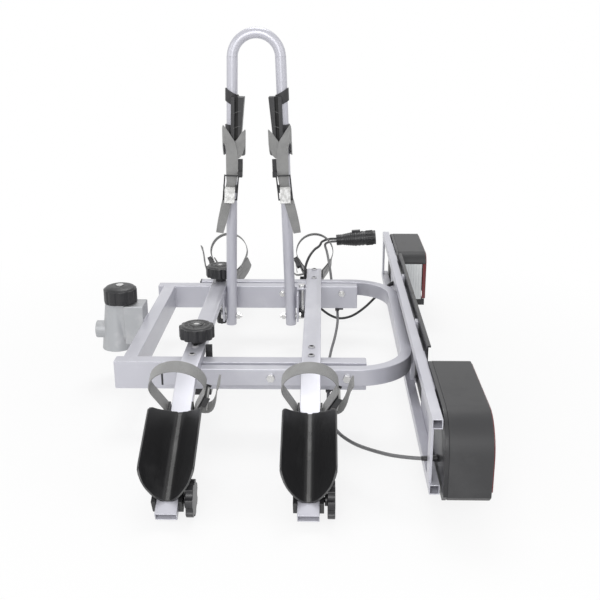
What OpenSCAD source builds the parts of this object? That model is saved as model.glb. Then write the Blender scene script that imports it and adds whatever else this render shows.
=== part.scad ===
// Hitch bike rack for two bicycles, carried on a 50 mm towball.
// Origin at the towball's centre, +X to the rear, +Y to the far side, +Z up.

/* [Frame] */
// Distance from the towball's centre to the front ends of the side beams
beam_x = 46; // [44:1:50]
// Length of the side beams
beam_len = 435; // [430:1:440]
// Height of the side beams and the crossbar
beam_h = 50; // [48:1:52]
// Width of one side beam
beam_w = 25; // [24:0.5:26]
// Half the width across the outer faces of the side beams
frame_half = 227.5; // [226:0.5:228]
// Wall of the frame tubes
tube_wall = 2.5; // [2:0.1:3]

/* [Rear bow] */
// Gap between each beam and the bow's leg beside it
bow_gap = 10; // [9:0.5:12]
// Width of the bow's tube
bow_w = 20; // [18:0.5:20]
// Height of the bow's tube
bow_h = 30; // [28:0.5:31]
// Front end of the bow's legs
bow_x = 136; // [130:1:140]
// Rear face of the bow's cross part
bow_rear = 564; // [563:0.5:564]
// Outer radius of the bow's corners
bow_r = 100; // [80:1:110]

/* [Wheel rails] */
// Centre lines of the front and the rear rail
rail_x = [183.5, 386.5];
// Width of a rail
rail_w = 32; // [31:0.1:32]
// Height of a rail
rail_h = 15; // [14:0.5:15]
// Half the length of the level part
rail_flat = 290; // [288:1:292]
// Slope of the outer parts, in degrees
rail_drop = 26; // [25:0.5:27]
// Length of each sloping part
rail_slope = 274; // [272:1:280]
// Wall of the rails
rail_wall = 1.5; // [1:0.1:2]

/* [Hoop] */
// Outer diameter of the hoop's tube
hoop_d = 22; // [20:0.5:22]
// Distance of the hoop's plane from the far beam's outer face
hoop_back = 66.5; // [65.5:0.5:67]
// Middle of the hoop
hoop_x = 273.4; // [273:0.1:274]
// Height of the hinge bolts
pivot_z = -3; // [-4:0.5:-2]
// Half the distance between the legs at the hinge
pivot_half = 64; // [63.5:0.1:64.5]
// Lean of each leg towards the middle, in degrees
hoop_lean = 1.76; // [1.7:0.02:1.9]
// Radius of the crown on the tube's centre line
crown_r = 47.5; // [46:0.5:49]

/* [Coupling] */
// Radius of the ball cup, for a 50 mm ball with running room
cup_r = 25.3; // [25.2:0.05:25.5]
// Depth of the cup's straight mouth below the ball's centre
cup_mouth = 12; // [10:0.5:14]
// Spindle's distance behind the ball's centre
spindle_x = 11; // [9:0.5:12]

/* [Wheel trays] */
// Inner end of a tray, measured down the slope
tray_in = 93; // [90:1:95]
// Rounded tip of a tray, measured down the slope
tray_tip = 253; // [250:1:255]
// Height of the tray walls above the rail
tray_h = 47; // [44:1:50]
// Half the width across the tray walls' top edges
tray_half = 41; // [38:1:43]
// Place of the clamp knob, measured down the slope
tray_knob_s = 242; // [240:1:243]
// Middle of the wheel strap, measured down the slope
strap_s = 80; // [78:1:82]
// Width of the strap webbing
strap_w = 22; // [20:1:24]

/* [Light board] */
// Front face of the light bars
bar_x = 556; // [555:0.5:556]
// Side of the square light bars
bar_w = 15; // [14:0.5:15]
// Half the length of the light bars
bar_half = 526; // [520:1:530]
// Underside of the upper bar
bar_top_z = 77.5; // [77:0.5:79]
// Underside of the lower bar
bar_low_z = -24.5; // [-26:0.5:-24]
// Inner and outer end of a lamp
lamp_y = [305, 545];
// Lower and upper edge of a lamp
lamp_z = [-30, 96];
// Front and rear face of a lamp's hood
lamp_x = [579, 640];

/* [Hidden] */
$fn = 48;
rail_top = beam_h + rail_h;
run_gap = 0.3;
pivot_x = hoop_x - pivot_half;
bolt_x = [318.5, 447];
bolt_z = 35;
bow_half = frame_half + bow_gap + bow_w;
hoop_y = frame_half - hoop_back;
screw_y = [34 - frame_half, -frame_half - 5];
far_screw_y = [frame_half - 11.5, frame_half + 53.5];
knob_y = [52.5 - frame_half, frame_half - 31.5];
knob_x = rail_x[0] + 1;
screw_x = rail_x[1];
leg_low = 19;
hoop_wall = 2;
// The crown's wall is this much thinner on both faces, so that it nests in the legs' ends
crown_nest = 0.2;
crown_arc = 180 - 2 * hoop_lean;
// Length of a leg from the hinge to the crown, where its lean brings it to the crown's radius
leg_len = (pivot_half - crown_r * cos(hoop_lean)) / sin(hoop_lean);
crown_z = pivot_z + leg_len * cos(hoop_lean) - crown_r * sin(hoop_lean);
bow_z = beam_h - bow_h;
lead_d = 5.6;
lead_sides = 8;
// Route of the near lamp's lead, from the lamp under both beams and through the far strap
near_lead_route = [
  [573.2, -476, 6], [564, -475, 5], [548, -470, 2], [525, -457, -3], [500, -441, -7],
  [466, -410, -12], [444, -384, -13], [428, -355, -12], [420, -315, -10], [416, -270, -7],
  [416, -215, -6], [416, -150, -13], [417, -70, -22], [423, 15, -25], [432, 90, -22],
  [438, 155, -13], [438, 215, -6], [436, 247, -5], [431, 268, 6], [427, 280, 28],
  [424, 294, 50], [421, 312, 66], [418, 337, 77], [415, 363, 85], [412, 386, 89],
  [411, 402, 91], [415, 414, 92.5], [425, 422, 93.5], [438, 424, 93.7]];
// Route of the far lamp's lead, which hangs below the bow and rises beside the rear rail
far_lead_route = [
  [573.2, 345, 14], [562, 338, 12], [545, 318, 5], [527, 300, -6], [503, 290, -27],
  [475, 286, -46], [447, 286, -53], [424, 289, -47], [402, 293, -32], [380, 298, -12],
  [368, 302, 14], [365, 304, 40], [366, 308, 63], [374, 318, 84], [386, 338, 96],
  [396, 361, 97.6], [400, 383, 97.2], [402, 400, 97.2], [406.2, 412.3, 97.4], [415.3, 420.4, 99.2],
  [427, 423, 100.4], [438, 423, 100.5]];
plug_tail = [438, 423.5, 97.1];
// Height of the released pad above the place where it would hold the ball
pad_lift = 4.4;
// Direction up the strap's straight run, where its buckle sits
buckle_turn = 180 - 66.2;
near_clip = [416, -215, -6];
far_clip = [438, 215, -6];

// Shared shapes

module both_sides() {
  children();
  mirror([0, 1, 0]) children();
}

module box(from, to) {
  translate(from) cube(to - from);
}

module tube_x(from, to, wall) {
  difference() {
    box(from, to);
    box(from + [-1, wall, wall], to + [1, -wall, -wall]);
  }
}

// Hex bolt along +Z with its head's underside at z = 0 and its shank going down
module hex_bolt(r, len, flats, head) {
  cylinder(r = flats / sqrt(3), h = head, $fn = 6);
  translate([0, 0, -len]) cylinder(r = r, h = len);
}

module hex_nut(r, flats, height) {
  difference() {
    cylinder(r = flats / sqrt(3), h = height, $fn = 6);
    translate([0, 0, -1]) cylinder(r = r, h = height + 2);
  }
}

// Round knob along +Z with scallops cut in its rim
module scalloped(r, h, count, cut_r, cut_at) {
  difference() {
    cylinder(r = r, h = h);
    for (i = [0:count - 1])
      rotate([0, 0, (i + 0.5) * 360 / count])
        translate([cut_at, 0, -1]) cylinder(r = cut_r, h = h + 2, $fn = 24);
  }
}

// Places a child in a tray's own frame: X across, Y down the slope, Z off the rail.
// The far trays are the near ones turned half round.
module on_slope(x, side) {
  turn = side > 0 ? 0 : 180;
  lift = x == rail_x[0] ? run_gap : 0;
  translate([x, 0, 0])
    rotate([0, 0, turn])
      translate([0, rail_flat, rail_top + lift])
        rotate([-rail_drop, 0, 0])
          children();
}

// Places a child in the left leg's frame: X to the middle, Y to the far side, Z up the leg
module on_left_leg() {
  translate([pivot_x, hoop_y, pivot_z]) rotate([0, hoop_lean, 0]) children();
}

module on_leg(left) {
  if (left) on_left_leg() children();
  else translate([2 * hoop_x, 0, 0]) mirror([1, 0, 0]) on_left_leg() children();
}

// Frame

module side_beams() {
  color([0.76, 0.76, 0.79])
    both_sides()
      difference() {
        tube_x([beam_x, frame_half - beam_w, 0], [beam_x + beam_len, frame_half, beam_h], tube_wall);
        for (x = bolt_x)
          translate([x, frame_half - beam_w - 1, bolt_z]) rotate([-90, 0, 0]) cylinder(r = 4.2, h = beam_w + 2);
        translate([screw_x, far_screw_y[0], -1]) cylinder(r = 3.2, h = beam_h + 2);
      }
}

module front_crossbar() {
  half = frame_half - beam_w;
  color([0.78, 0.78, 0.81])
    difference() {
      box([58, -half, 0], [83, half, beam_h]);
      box([58 + tube_wall, -half - 1, tube_wall], [83 - tube_wall, half + 1, beam_h - tube_wall]);
    }
}

// Flat outline of the bow, open to the front
module bow_outline(half, rear, r, front) {
  union() {
    translate([front, -half]) square([rear - r - front, 2 * half]);
    translate([rear - r - 0.01, -half + r]) square([r + 0.01, 2 * (half - r)]);
    for (s = [-1, 1])
      translate([rear - r, s * (half - r)]) circle(r = r, $fn = 96);
  }
}

module bow_ring(inset, z0, z1, front) {
  translate([0, 0, z0])
    linear_extrude(z1 - z0)
      difference() {
        bow_outline(bow_half - inset, bow_rear - inset, bow_r - inset, front);
        bow_outline(bow_half - bow_w + inset, bow_rear - bow_w + inset, bow_r - bow_w + inset, front - 1);
      }
}

module rear_bow() {
  color([0.75, 0.75, 0.78])
    difference() {
      bow_ring(0, bow_z, beam_h, bow_x);
      bow_ring(tube_wall, bow_z + tube_wall, beam_h - tube_wall, bow_x - 1);
      for (x = bolt_x)
        translate([x, -bow_half - 1, bolt_z]) rotate([-90, 0, 0]) cylinder(r = 4.2, h = 2 * bow_half + 2);
    }
}

module bow_end_plugs() {
  color([0.16, 0.16, 0.17])
    both_sides()
      union() {
        box([bow_x - 3, bow_half - bow_w, bow_z], [bow_x, bow_half, beam_h]);
        box([bow_x, bow_half - bow_w + tube_wall, bow_z + tube_wall],
            [bow_x + 14, bow_half - tube_wall, beam_h - tube_wall]);
      }
}

// Four bolts through bow and beam, each with its sleeve in the gap and its nut inside
module frame_bolts() {
  color([0.85, 0.85, 0.87])
    both_sides()
      for (x = bolt_x)
        translate([x, 0, bolt_z]) {
          translate([0, bow_half, 0]) rotate([-90, 0, 0]) hex_bolt(4, 66, 13, 5.5);
          translate([0, frame_half - beam_w - 6.6, 0]) rotate([-90, 0, 0]) hex_nut(4, 13, 6.5);
          translate([0, frame_half, 0]) rotate([-90, 0, 0])
            difference() {
              cylinder(r = 8, h = bow_half - bow_w - frame_half);
              translate([0, 0, -1]) cylinder(r = 4.1, h = 20);
            }
        }
}

// Wheel rails

// Side outline of a rail, drawn in Y and Z, inset evenly from its faces
module rail_outline(inset, over) {
  bend = tan(rail_drop / 2);
  run = rail_slope + over;
  top = rail_h - inset;
  end_t = [rail_flat + run * cos(rail_drop), rail_h - run * sin(rail_drop)]
        - inset * [sin(rail_drop), cos(rail_drop)];
  end_b = end_t - (rail_h - 2 * inset) * [sin(rail_drop), cos(rail_drop)];
  top_b = [rail_flat - inset * bend, top];
  low_b = [rail_flat - (rail_h - inset) * bend, inset];
  half = [top_b, end_t, end_b, low_b];
  polygon(concat(half, [for (i = [3:-1:0]) [-half[i][0], half[i][1]]]));
}

module rail_solid(x, lift, inset, over) {
  width = rail_w - 2 * inset;
  translate([x - width / 2, 0, beam_h + lift])
    rotate([90, 0, 90]) linear_extrude(width) rail_outline(inset, over);
}

module rail_body(x, lift, holes) {
  difference() {
    rail_solid(x, lift, 0, 0);
    rail_solid(x, lift, rail_wall, 2);
    for (h = holes)
      translate([h[0], h[1], beam_h - 2]) cylinder(r = h[2], h = rail_h + 4);
  }
}

module front_rail() {
  color([0.80, 0.80, 0.84])
    rail_body(rail_x[0], run_gap, [
      [knob_x, knob_y[0], 4.2], [knob_x, knob_y[1], 4.2],
      [rail_x[0], screw_y[0], 3.2], [rail_x[0], screw_y[1], 3.2]]);
}

module rear_rail() {
  color([0.80, 0.80, 0.84])
    rail_body(rail_x[1], 0, [
      [screw_x, screw_y[0], 3.2], [screw_x, screw_y[1], 3.2], 
      [screw_x, far_screw_y[0], 3.2], [screw_x, far_screw_y[1], 3.2]]);
}

// Button head screw with a hex socket, its head's underside at z = 0
module button_screw(r, len) {
  difference() {
    union() {
      cylinder(r = 6, h = 1.6);
      translate([0, 0, 1.6]) cylinder(r1 = 6, r2 = 4, h = 1.4);
      translate([0, 0, -len]) cylinder(r = r, h = len);
    }
    translate([0, 0, 0.8]) cylinder(r = 2.6, h = 3, $fn = 6);
  }
}

// Two screws astride the near beam, each with a round guide below the rail that keeps it square
module front_rail_screws() {
  color([0.82, 0.82, 0.84])
    for (i = [0, 1])
      translate([rail_x[0], screw_y[i], 0]) {
        translate([0, 0, rail_top + run_gap]) button_screw(3, 34);
        translate([0, 0, beam_h - 18]) cylinder(r = i == 0 ? 8.5 : 4.4, h = 18 + run_gap);
      }
}

// Long screws with the plate that they draw up under the near beam, and those of the far side
module rear_rail_screws() {
  color([0.82, 0.82, 0.84]) {
    for (y = screw_y) {
      translate([screw_x, y, rail_top]) button_screw(3, rail_top + 10);
      translate([screw_x, y, -9.2]) hex_nut(3, 10, 5);
    }
    difference() {
      box([screw_x - 14, screw_y[1] - 7.5, -4.2], [screw_x + 14, screw_y[0] + 8.5, -0.2]);
      for (y = screw_y)
        translate([screw_x, y, -6]) cylinder(r = 3.1, h = 8);
    }
    translate([screw_x, far_screw_y[0], rail_top]) button_screw(3, rail_top + 10);
    translate([screw_x, far_screw_y[0], -5.2]) hex_nut(3, 10, 5);
    translate([screw_x, far_screw_y[1], rail_top]) button_screw(3, 18);
  }
}

// Rail clamps

// Star knob with a metal insert and its long stud, the rail's top at z = 0
module rail_knob(y) {
  base = rail_top + run_gap;
  translate([knob_x, y, base]) {
    color([0.15, 0.15, 0.16]) {
      translate([0, 0, 0.3]) cylinder(r = 11, h = 11);
      translate([0, 0, 11]) scalloped(31, 21, 12, 6, 34.5);
      translate([0, 0, 32]) cylinder(r1 = 27, r2 = 25, h = 2);
    }
    color([0.8, 0.8, 0.82]) {
      translate([0, 0, 34]) cylinder(r = 7.5, h = 2, $fn = 6);
      translate([0, 0, -base - 34]) cylinder(r = 4, h = base + 36);
    }
  }
}

// Claw that the near stud draws up under the beam, kept square by its upright beside the rail
module near_rail_claw() {
  color([0.17, 0.17, 0.18])
    difference() {
      union() {
        box([knob_x - 11.5, knob_y[0] - 47, -14], [knob_x + 27.5, knob_y[0] + 9, -2]);
        box([rail_x[0] + rail_w / 2 + 1, knob_y[0] - 15, -14], [knob_x + 27.5, knob_y[0] - 8, rail_top + 1]);
        translate([knob_x, knob_y[0], -30]) cylinder(r = 11, h = 17);
      }
      translate([knob_x, knob_y[0], -40]) cylinder(r = 4.05, h = 60);
    }
}

module far_rail_claw() {
  color([0.17, 0.17, 0.18])
    difference() {
      union() {
        box([knob_x - 10.5, knob_y[1] - 17, -14], [knob_x + 7.2, knob_y[1] + 26, -2]);
        translate([knob_x, knob_y[1], -17]) cylinder(r = 8, h = 4);
        translate([knob_x, knob_y[1], -31]) scalloped(11, 14.5, 8, 2, 11.5);
      }
      translate([knob_x, knob_y[1], -40]) cylinder(r = 4.05, h = 60);
    }
}

// Coupling

module coupling_housing() {
  color([0.70, 0.71, 0.73])
    difference() {
      union() {
        translate([0, 0, -cup_mouth]) cylinder(r1 = 31, r2 = 30, h = 6);
        translate([0, 0, -cup_mouth + 6]) cylinder(r1 = 30, r2 = 20, h = 86);
        hull() {
          box([20, -24, 2], [58, 24, 78]);
          box([20, -22, 0], [58, 22, 80]);
        }
        hull() {
          translate([0, 0, 0]) cylinder(r = 20, h = 80, $fn = 32);
          box([40, -22, 30], [57, 22, 79]);
        }
        translate([-40, 0, 25]) rotate([0, 90, 0]) cylinder(r = 17, h = 24);
      }
      rotate_extrude($fn = 64) {
        translate([0, -cup_mouth - 1]) square([cup_r, cup_mouth + 1]);
        intersection() {
          circle(r = cup_r, $fn = 96);
          square([cup_r, cup_r]);
        }
      }
      translate([spindle_x, 0, 10]) cylinder(r = 14.4, h = 36);
      translate([spindle_x, 0, 40]) cylinder(r = 8.05, h = 50);
      translate([-41, 0, 25]) rotate([0, 90, 0]) cylinder(r = 13, h = 8);
      translate([-34, 0, 25]) rotate([0, 90, 0]) cylinder(r = 5.1, h = 14);
    }
}

module coupling_knob() {
  color([0.16, 0.16, 0.17])
    translate([spindle_x, 0, 83])
      difference() {
        union() {
          scalloped(32, 26, 10, 8, 38.6);
          translate([0, 0, 26]) cylinder(r1 = 31, r2 = 27, h = 4);
          translate([0, 0, 30]) cylinder(r1 = 27, r2 = 18, h = 3);
        }
        translate([0, 0, -1]) cylinder(r = 8, h = 30);
        translate([0, 0, 20]) cylinder(r = 4, h = 20);
      }
}

module coupling_spindle() {
  color([0.78, 0.79, 0.81])
    translate([spindle_x, 0, 0]) {
      translate([0, 0, 36]) cylinder(r = 8, h = 76);
      translate([0, 0, 80.3]) cylinder(r = 13, h = 2.7);
      translate([0, 0, 116]) cylinder(r = 8, h = 1.5, $fn = 6);
      translate([0, 0, 112]) cylinder(r = 4, h = 4);
    }
}

// Pad with a hollow face that fits the ball, in its released place
module ball_pad() {
  color([0.62, 0.62, 0.64])
    difference() {
      translate([spindle_x, 0, 15 + pad_lift]) cylinder(r = 14, h = 23);
      translate([0, 0, pad_lift]) sphere(r = cup_r + 0.2, $fn = 96);
      translate([spindle_x, 0, 30 + pad_lift]) cylinder(r = 8.1, h = 10);
    }
}

module adjuster_bolt() {
  color([0.80, 0.80, 0.82])
    translate([-33, 0, 25]) rotate([0, -90, 0]) {
      hex_bolt(5, 12, 17, 6);
      cylinder(r = 11.5, h = 1.5);
    }
}

// Hoop

// Bent tube: two leaning legs, and a crown whose ends nest in them
module hoop() {
  r = hoop_d / 2;
  color([0.72, 0.72, 0.77])
    difference() {
      union() {
        for (left = [true, false])
          on_leg(left)
            rotate([0, 0, 90])
              difference() {
                translate([0, 0, -leg_low]) cylinder(r = r, h = leg_low + leg_len + 1);
                translate([0, 0, -leg_low - 1]) cylinder(r = r - hoop_wall, h = leg_low + leg_len + 3);
              }
        translate([hoop_x, hoop_y, crown_z])
          rotate([90, 0, 0]) rotate([0, 0, hoop_lean])
            rotate_extrude(angle = crown_arc, $fn = 96)
              translate([crown_r, 0])
                difference() {
                  circle(r = r - crown_nest, $fn = 48);
                  circle(r = r - hoop_wall + crown_nest, $fn = 48);
                }
      }
      for (x = [pivot_x, 2 * hoop_x - pivot_x])
        translate([x - 15, hoop_y, pivot_z]) rotate([0, 90, 0]) cylinder(r = 4.05, h = 30);
    }
}

// Hinge plate beside each leg, welded to the far beam's inner face
module bracket_plate() {
  x = pivot_x - hoop_d / 2 - 6;
  difference() {
    union() {
      box([x, hoop_y - 15, -12], [x + 4, hoop_y + 16, 48]);
      box([x, hoop_y - 15, 1], [x + 4, frame_half - beam_w, 48]);
    }
    translate([x - 1, hoop_y, pivot_z]) rotate([0, 90, 0]) cylinder(r = 4.1, h = 6);
  }
}

module hoop_brackets() {
  color([0.80, 0.80, 0.80]) {
    bracket_plate();
    translate([2 * hoop_x, 0, 0]) mirror([1, 0, 0]) bracket_plate();
    difference() {
      box([350.5, frame_half - 49.5, beam_h], [370, frame_half - 3.5, beam_h + 3]);
      translate([361, frame_half - 37.5, beam_h - 1]) cylinder(r = 4.2, h = 5);
    }
  }
}

// Hinge bolts with their nuts, and the bolt and block that clamp the right foot to the beam
module hoop_bolts() {
  x = pivot_x - hoop_d / 2 - 6;
  color([0.80, 0.80, 0.82]) {
    for (m = [0, 1])
      translate([m * 2 * hoop_x, 0, 0]) mirror([m, 0, 0])
        translate([x, hoop_y, pivot_z]) {
          rotate([0, -90, 0]) hex_bolt(4, 40, 13, 5);
          translate([4.2, 0, 0]) rotate([0, 90, 0]) hex_nut(4, 13, 1.4);
          translate([29, 0, 0]) rotate([0, 90, 0]) hex_nut(4, 13, 6.5);
        }
    translate([361, frame_half - 37.5, beam_h + 3]) hex_bolt(4, beam_h + 22, 13, 5.5);
  }
  color([0.17, 0.17, 0.18])
    difference() {
      box([350.5, frame_half - 47.5, -14], [370, frame_half - 5.5, -0.2]);
      translate([361, frame_half - 37.5, -20]) cylinder(r = 4.1, h = 30);
    }
}

// Frame pads on the hoop

module frame_pad(left) {
  grip = hoop_d / 2 + 0.3;
  color([0.17, 0.17, 0.18])
    on_leg(left)
      difference() {
        union() {
          intersection() {
            rotate([0, 0, 120]) translate([0, 0, 440]) cylinder(r = grip + 2.4, h = 45);
            translate([0, 0, 460]) rotate([0, 27, 0]) box([-30, -30, -11], [30, 30, 11]);
          }
          rotate([0, 0, 120]) translate([0, 0, 384]) cylinder(r = grip + 2.4, h = 24);
          box([0, -26, 371], [26, -grip - 0.2, 464]);
          box([grip + 0.1, -14, 371], [26, 0, 464]);
        }
        box([7.5, -30, 360], [14, -17, 480]);
        translate([26, -30, 464]) rotate([0, -86, 0]) mirror([0, 0, 1]) box([-100, 0, 0], [0, 40, 9]);
        translate([8, -30, 360]) rotate([0, 38, 0]) box([0, -1, -30], [30, 36, 30]);
        translate([8, -30, 360]) rotate([0, -28, 0]) box([-30, -1, -30], [0, 18, 26]);
        rotate([0, 0, 120]) translate([0, 0, 360]) cylinder(r = grip, h = 130);
      }
}

module flat_band(v, thick, points) {
  translate([0, v, 0]) rotate([90, 0, 0]) linear_extrude(thick) polygon(points);
}

// The webbing's way round the leg, from the main band at the left to the cross band at the right
module wrap_outline(r, thick) {
  in = r - thick;
  polygon(concat(
    [[-8, -30.5], [-r, -30.5]],
    [for (a = [180:-20:0]) [r * cos(a), r * sin(a)]],
    [[29, -22], [29, -28.3], [24, -28.3], [24, -26.3], [27, -26.3], [27, -21.4]],
    [for (a = [0:20:180]) [in * cos(a), in * sin(a)]],
    [[-in, -28.5], [-8, -28.5]]));
}

// Webbing that crosses in front of the pad's foot and hangs down through the buckle
module pad_strap(left) {
  color([0.60, 0.60, 0.59])
    on_leg(left) {
      flat_band(-28.5, 2, [
        [-16, 394], [5.5, 369], [13, 348], [14, 310], [10, 288], [4, 258], [-14, 190], [-29, 192],
        [-16, 262], [-8, 294], [-9.5, 360], [-16, 372]]);
      flat_band(-26.3, 2, [[4, 369], [27, 387], [29, 361], [23, 338], [12, 336]]);
      translate([0, 0, 346]) linear_extrude(24.7) wrap_outline(16.3, 2);
    }
}

// Wire frame and base of the cam buckle
module pad_buckle(left) {
  color([0.14, 0.14, 0.15])
    on_leg(left) {
      for (u = [-14.5, 13])
        translate([u, -33, 260]) rotate([0, 4, 0]) cylinder(r = 1.4, h = 52, $fn = 24);
      translate([-15, -33, 261]) rotate([0, 90, 0]) cylinder(r = 1.4, h = 28.5, $fn = 24);
      translate([-11.5, -33, 310]) rotate([0, 90, 0]) cylinder(r = 1.4, h = 28.5, $fn = 24);
      box([14.8, -26, 310], [24, -18, 342]);
      box([14.8, -34.4, 307], [24, -18, 318]);
      box([-13.6, -38, 276], [-12.4, -31.6, 292]);
      box([10.4, -38, 276], [13.6, -31.6, 292]);
    }
}

module pad_lever(left) {
  color([0.86, 0.86, 0.86])
    on_leg(left)
      translate([-1, -34.6, 286]) rotate([-20, 0, 0])
        union() {
          box([-9.9, -1.4, -32], [11, 0.6, 0]);
          rotate([0, 90, 0]) translate([0, 0, -9.9]) cylinder(r = 1.8, h = 20.9, $fn = 24);
        }
}

// Wheel trays

// Half section of the tray's wall, from the groove to the top edge
module tray_section() {
  half = [[2.6, 1.2], [4, 3.4], [9, 5.6], [18, 15], [30, 31], [tray_half - 2, tray_h],
          [tray_half, tray_h], [tray_half, tray_h - 2], [32.5, 30], [20.5, 13.5], [12, 3], [10, 0.4]];
  polygon(concat(half, [for (i = [11:-1:0]) [-half[i][0], half[i][1]]]));
}

// Side outline of the tray: straight top edge, rounded tip, and a short cut at the inner end
module tray_side() {
  r = 34;
  tip = [for (a = [90:-15:0]) [tray_tip - r + r * cos(a), 4 + (tray_h - 3) * sin(a)]];
  inner = [[tray_in, -1], [tray_in, 4], [tray_in + 12, 22], [tray_in + 21, tray_h - 8],
           [tray_in + 30, tray_h + 1]];
  polygon(concat(inner, tip, [[tray_tip, -1]]));
}

module tray_shell() {
  intersection() {
    translate([0, 270, 0]) rotate([90, 0, 0]) linear_extrude(200) tray_section();
    translate([-60, 0, 0]) rotate([90, 0, 90]) linear_extrude(120) tray_side();
  }
}

// Skirts beside the rail: prongs at the inner end and the clamp saddle at the tip
module tray_skirts() {
  in = rail_w / 2 + 0.4;
  for (s = [-1, 1]) scale([s, 1, 1]) {
    box([in, 75, -9], [in + 3.1, tray_in + 30, 7]);
    box([9, tray_in, 0.4], [in + 2.2, tray_in + 30, 4]);
    box([in, 222, -19], [in + 6, 258, 6]);
    box([6, 222, 0.4], [in + 6, 250, 4]);
  }
  box([-in - 6, 222, -19], [in + 6, 258, -rail_h - 0.4]);
}

module tray(x, side) {
  color([0.15, 0.15, 0.16])
    on_slope(x, side)
      difference() {
        union() {
          tray_shell();
          tray_skirts();
        }
        translate([-10, tray_knob_s, -rail_h / 2]) rotate([0, -90, 0]) cylinder(r = 4.05, h = 20);
      }
}

module tray_knob(x, side) {
  out = rail_w / 2;
  color([0.18, 0.18, 0.19])
    on_slope(x, side)
      translate([-out - 0.3, tray_knob_s, -rail_h / 2]) rotate([0, -90, 0]) {
        cylinder(r = 4, h = 12);
        translate([0, 0, 7]) cylinder(r = 9, h = 6);
        translate([0, 0, 11]) scalloped(27.5, 11, 7, 8, 31);
      }
}

// Half of the strap's outline: round over the wheel, straight to the rail's side and under it
function strap_half(r, low) = concat(
  [for (a = [90:-15:0]) [r * cos(a), 53 + r * sin(a)]],
  [[r - 0.8, 46.5], [r - 3, 40], [r - 22.4, -4], [r - 22.4, low + 2], [r - 24.4, low]]);

module strap_outline(r, low) {
  half = strap_half(r, low);
  polygon(concat(half, [for (i = [len(half) - 1:-1:1]) [-half[i][0], half[i][1]]]));
}

module wheel_strap(x, side) {
  tail = [[-23.5, 1], [-38, -3], [-49, 2], [-56, 17], [-60, 40], [-66, 66]];
  color([0.58, 0.58, 0.57])
    on_slope(x, side) translate([0, strap_s + strap_w / 2, 0]) rotate([90, 0, 0]) {
      linear_extrude(strap_w)
        difference() {
          strap_outline(44, -17.1);
          strap_outline(42.2, -15.3);
        }
      linear_extrude(strap_w)
        polygon(concat(tail, [for (i = [5:-1:0]) tail[i] + (i < 3 ? [0.2, 1.7] : [1.7, 0])]));
    }
}

// Buckle frame in the strap's lower run; local X runs up the strap, Z away from the wheel
module at_buckle(x, side) {
  on_slope(x, side)
    translate([-33.85, strap_s, 24.6]) rotate([0, -buckle_turn, 0]) children();
}

module strap_buckle(x, side) {
  color([0.17, 0.17, 0.18])
    at_buckle(x, side) {
      box([-20, -12.5, 1.2], [18, 12.5, 3]);
      for (s = [-14, 12.4])
        box([-6, s, 1.2], [17, s + 1.6, 10]);
    }
}

module strap_lever(x, side) {
  color([0.86, 0.86, 0.86])
    at_buckle(x, side)
      translate([12, 0, 6.5]) rotate([0, 14, 0]) {
        translate([0, 12.1, 0]) rotate([90, 0, 0]) cylinder(r = 2.4, h = 24.2, $fn = 24);
        box([-28, -11.5, 0.6], [0, 11.5, 2.4]);
      }
}

// Light board

module light_bars() {
  color([0.76, 0.76, 0.80])
    for (z = [bar_low_z, bar_top_z])
      difference() {
        box([bar_x, -bar_half, z], [bar_x + bar_w, bar_half, z + bar_w]);
        box([bar_x + 1.5, -bar_half - 1, z + 1.5], [bar_x + bar_w - 1.5, bar_half + 1, z + bar_w - 1.5]);
      }
}

// Upright struts between the bars, lamp plates and the tabs of the plate holder
module light_bar_struts() {
  low = bar_low_z + bar_w;
  rear = bar_x + bar_w;
  strut_y = bow_half - bow_r - 19.5;
  color([0.86, 0.86, 0.88])
    both_sides() {
      box([bar_x, bar_half - 33, low], [bar_x + 4, bar_half - 8, bar_top_z]);
      box([bow_rear, strut_y, low], [rear, strut_y + 25, bar_top_z]);
      difference() {
        box([rear, lamp_y[0] - 35, bar_low_z + 2], [rear + 2, lamp_y[0] + 115, bar_top_z + bar_w - 2]);
        translate([rear - 1, lamp_y[0] + 40, 14]) rotate([0, 90, 0]) cylinder(r = 4.4, h = 4);
      }
      box([rear, 130, bar_top_z + 2], [rear + 5, 146, bar_top_z + bar_w + 4]);
      box([rear, 130, bar_low_z + 2], [rear + 5, 146, bar_low_z + 12]);
    }
}

module plate_holder() {
  x = bar_x + bar_w + 5;
  color([0.25, 0.25, 0.26])
    difference() {
      union() {
        box([x, -282, -20], [x + 2, 282, 104]);
        box([x, -282, 101], [x + 6, 282, 104]);
        box([x, -282, -20], [x + 6, 282, -17]);
      }
      for (y = [-200, 200]) translate([x - 1, y, 42]) rotate([0, 90, 0]) cylinder(r = 3, h = 8);
    }
}

// Lamp outline in Y and Z, outer corner wide and inner corner tighter, inset evenly
module lamp_outline(inset) {
  big = 60 - inset;
  small = 25 - inset;
  y0 = lamp_y[0] + inset;
  y1 = lamp_y[1] - inset;
  z0 = lamp_z[0] + inset;
  z1 = lamp_z[1] - inset;
  polygon(concat(
    [[y0, z0], [y1 - 12, z0], [y1, z0 + 12]],
    [for (a = [0:10:90]) [y1 - big + big * cos(a), z1 - big + big * sin(a)]],
    [for (a = [90:15:180]) [y0 + small + small * cos(a), z1 - small + small * sin(a)]]));
}

module lamp_slab(x0, x1, inset) {
  translate([x0, 0, 0]) rotate([90, 0, 90]) linear_extrude(x1 - x0) lamp_outline(inset);
}

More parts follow.
